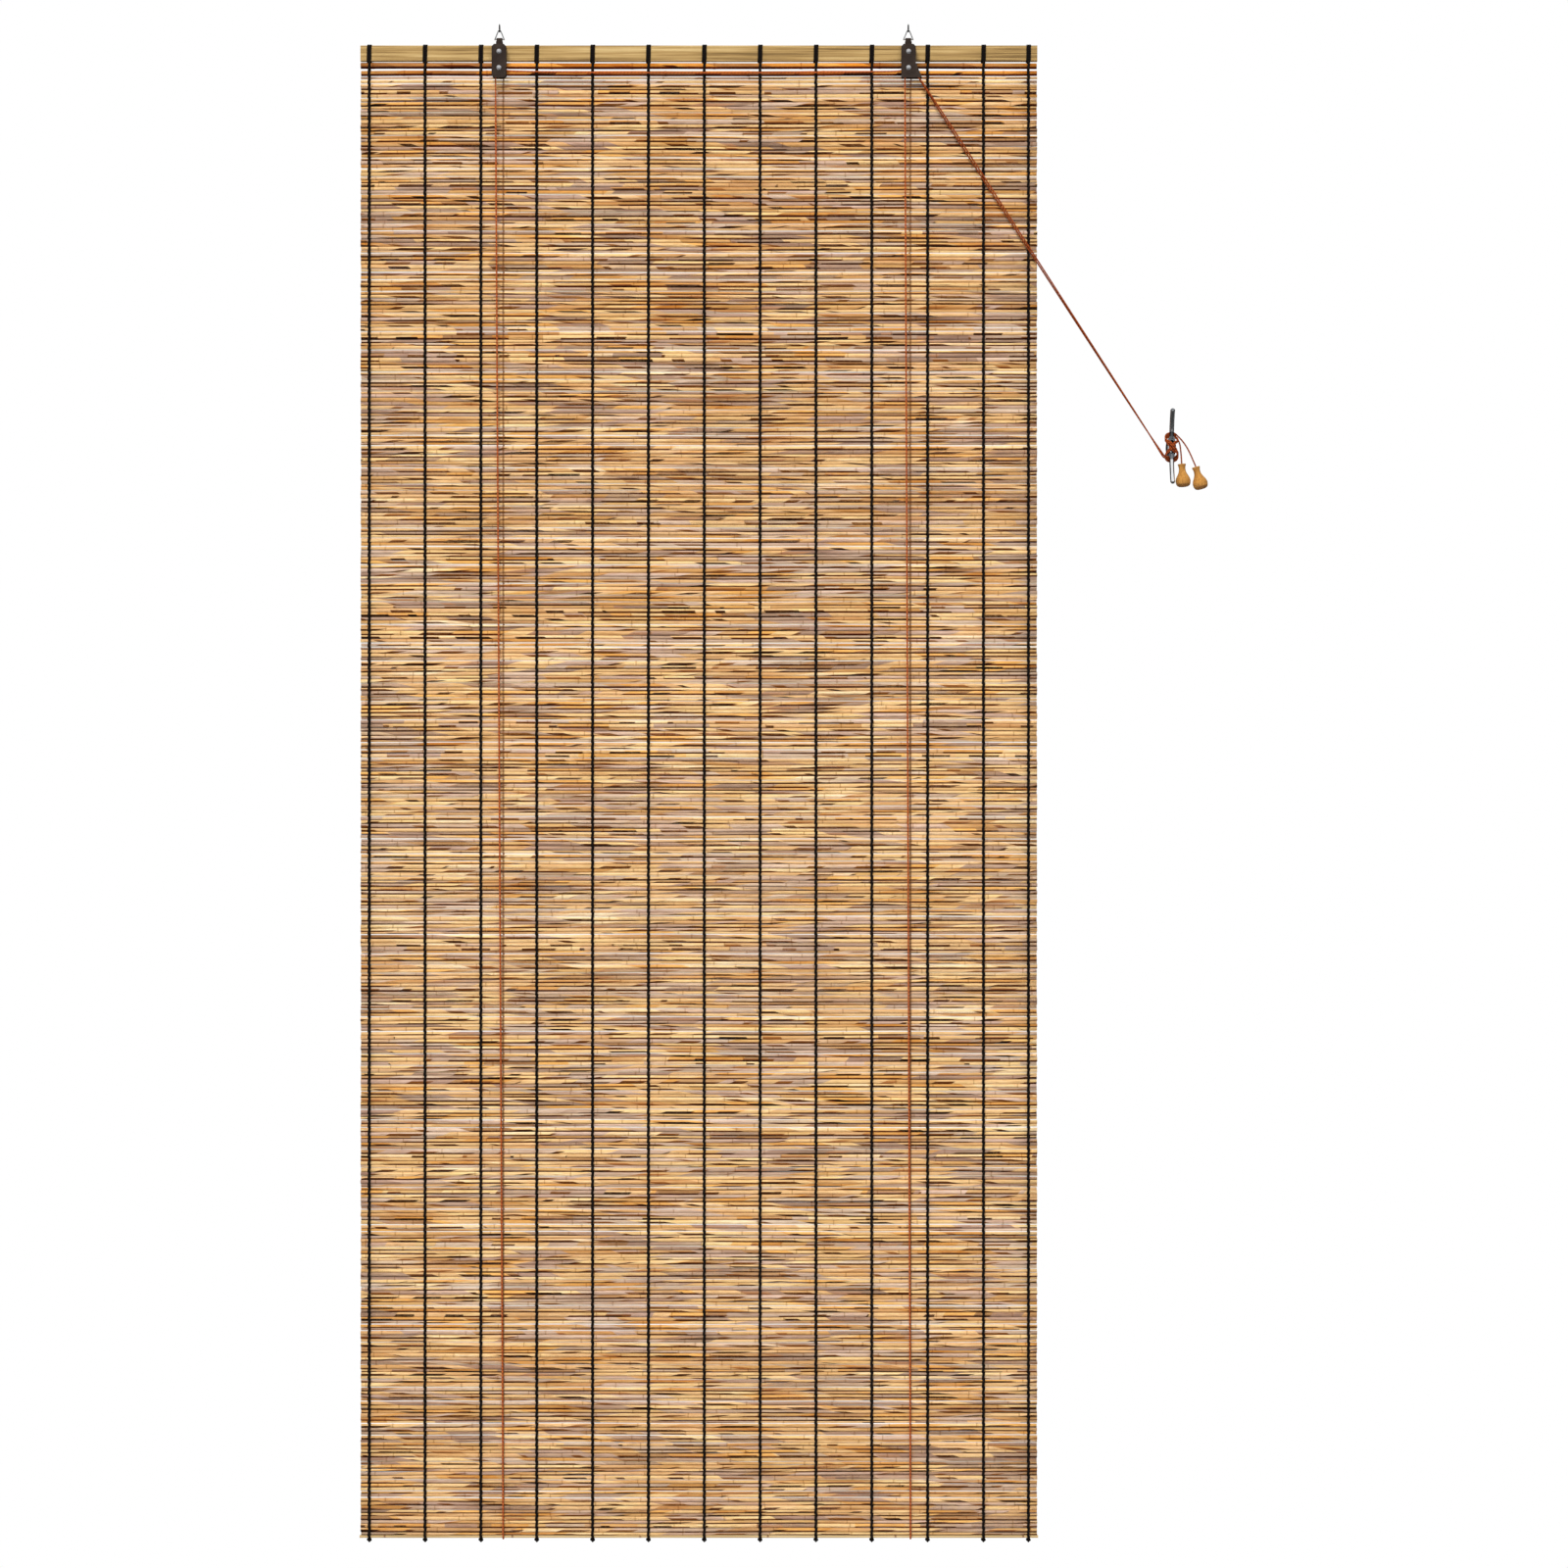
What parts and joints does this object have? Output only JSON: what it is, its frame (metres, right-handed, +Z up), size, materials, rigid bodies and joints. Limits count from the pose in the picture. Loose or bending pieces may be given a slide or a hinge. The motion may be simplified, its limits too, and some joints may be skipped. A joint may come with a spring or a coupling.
{
  "type": "reed roller blind",
  "caption": "Wide reed roller blind on a bamboo head lath, hung by wire rings from screw hooks, with pulley brackets, pull cords, wooden tassels and a wall cleat.",
  "frame": {"origin": "midway between the two screw hooks, on the ceiling plane that they are screwed into", "axes": "+Z up, -Y towards the room and the viewer, +X to the viewer's right where the cords leave"},
  "size_m": [1.2528, 0.0355, 2.2438],
  "materials": {
    "reeds": "dry reed stems, straw to brown",
    "lath_bamboo": "planed bamboo",
    "stick_cane": "split cane",
    "warp_black": "black twisted yarn",
    "bracket_brown": "dark brown lacquer",
    "rivet_steel": "polished dome",
    "ring_chrome": "plated wire",
    "hook_steel": "dark zinc",
    "sheave_plastic": "moulded",
    "cord_brown": "laid two-tone cord",
    "cleat_chrome": "plated casting",
    "tassel_wood": "turned and varnished"
  },
  "bodies": {
    "fixings": {"left_hook": "hook_steel", "right_hook": "hook_steel", "left_ring": "ring_chrome", "right_ring": "ring_chrome", "cleat": "cleat_chrome", "cleat_turns": "cord_brown", "pull_cords": "cord_brown", "left_tail": "cord_brown", "right_tail": "cord_brown", "left_tassel": "tassel_wood", "right_tassel": "tassel_wood"},
    "blind": {"head_lath": "lath_bamboo", "bottom_stick": "stick_cane", "reed_mat": "reeds", "warp_cords": "warp_black", "warp_wraps": "warp_black", "warp_knots": "warp_black", "left_plate": "bracket_brown", "right_plate": "bracket_brown", "left_cover": "bracket_brown", "right_cover": "bracket_brown", "fixing_rivets": "rivet_steel", "axle_rivets": "rivet_steel", "cord_staples": "hook_steel", "left_lift_cord": "cord_brown", "right_lift_cord": "cord_brown"},
    "left_pulley": {"left_pulley": "sheave_plastic"},
    "right_front_sheave": {"right_front_sheave": "sheave_plastic"},
    "right_rear_sheave": {"right_rear_sheave": "sheave_plastic"}
  },
  "joints": [
    {"name": "blind_swing", "type": "hinge", "parent": "fixings", "child": "blind", "pos_m": [0, 0, -0.017], "axis": [1, 0, 0], "range_deg": [-20, 20], "deforming": ["pull_cords"]},
    {"name": "left_pulley_spin", "type": "hinge", "parent": "blind", "child": "left_pulley", "pos_m": [-0.302, -0.0063, -0.061], "axis": [0, 1, 0], "continuous": true},
    {"name": "right_front_spin", "type": "hinge", "parent": "blind", "child": "right_front_sheave", "pos_m": [0.302, -0.0083, -0.061], "axis": [0, 1, 0], "continuous": true},
    {"name": "right_rear_spin", "type": "hinge", "parent": "blind", "child": "right_rear_sheave", "pos_m": [0.302, -0.0043, -0.061], "axis": [0, 1, 0], "continuous": true}
  ],
  "couplings": [
    {"joint": "right_rear_spin", "follows": "left_pulley_spin", "ratio": 1}
  ]
}
